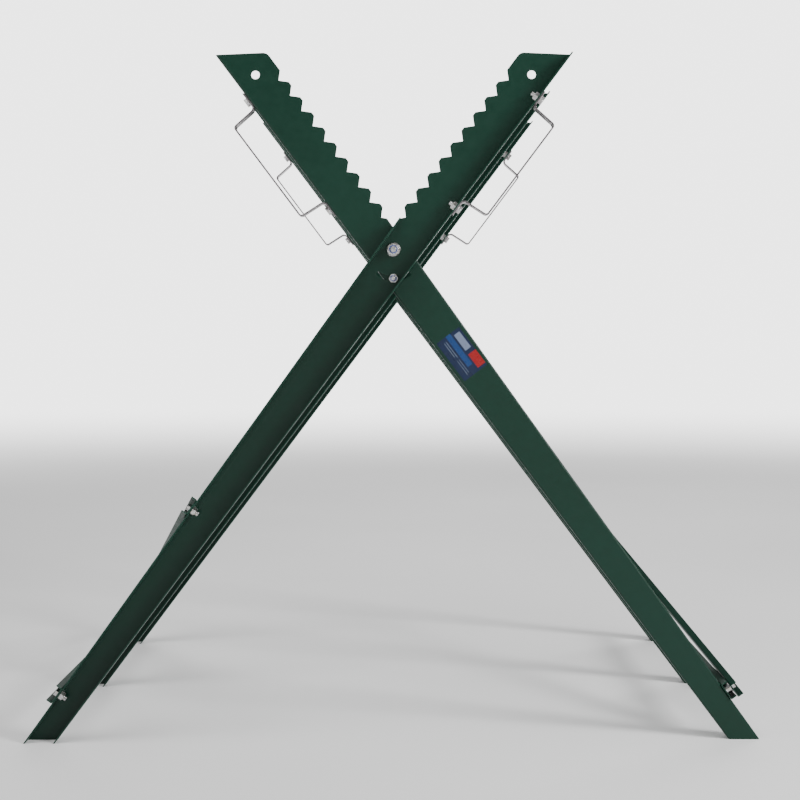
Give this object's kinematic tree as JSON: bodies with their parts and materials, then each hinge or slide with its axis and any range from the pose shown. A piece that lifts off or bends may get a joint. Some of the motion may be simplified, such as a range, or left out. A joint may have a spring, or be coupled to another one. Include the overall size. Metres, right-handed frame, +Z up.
{
  "type": "folding sawhorse",
  "caption": "Folding log sawhorse: scissor frames of toothed steel channel joined by braces, with stop slots and carrying handles.",
  "frame": {"origin": "on the floor under the middle of the three frames, halfway between the feet", "axes": "+Z up, X across the scissor frames, Y along the log, with the label's frame at -Y"},
  "size_m": [0.8934, 0.6518, 0.8372],
  "materials": {
    "green_paint": "semi-gloss",
    "zinc": "bright zinc plate",
    "handle_steel": "dark plated",
    "nylon": "matt",
    "label": "printed vinyl"
  },
  "bodies": {
    "left_set": {"left_brace_bolts": "zinc", "left_brace_nuts": "zinc", "left_brace_spacers": "zinc", "left_diagonal_brace": "green_paint", "left_handle_bolts": "zinc", "left_handle_front": "handle_steel", "left_handle_nuts": "zinc", "left_handle_rear": "handle_steel", "left_leg_front": "green_paint", "left_leg_middle": "green_paint", "left_leg_rear": "green_paint", "left_lower_brace": "green_paint", "pivot_bolts": "zinc", "pivot_nut_rings": "nylon", "pivot_nuts": "zinc"},
    "right_set": {"label": "label", "right_brace_bolts": "zinc", "right_brace_nuts": "zinc", "right_brace_spacers": "zinc", "right_diagonal_brace": "green_paint", "right_handle_bolts": "zinc", "right_handle_front": "handle_steel", "right_handle_nuts": "zinc", "right_handle_rear": "handle_steel", "right_leg_front": "green_paint", "right_leg_middle": "green_paint", "right_leg_rear": "green_paint", "right_lower_brace": "green_paint"},
    "stop_pins": {"stop_bolts": "zinc", "stop_nut_rings": "nylon", "stop_nuts": "zinc"}
  },
  "joints": [
    {"name": "fold", "type": "hinge", "parent": "left_set", "child": "right_set", "pos_m": [0, 0, 0.597], "axis": [0, 1, 0], "range_deg": [0, 62]},
    {"name": "stop_travel", "type": "hinge", "parent": "left_set", "child": "stop_pins", "pos_m": [0, 0, 0.597], "axis": [0, 1, 0], "range_deg": [0, 31]}
  ],
  "couplings": [
    {"joint": "stop_travel", "follows": "fold", "ratio": 0.5}
  ]
}
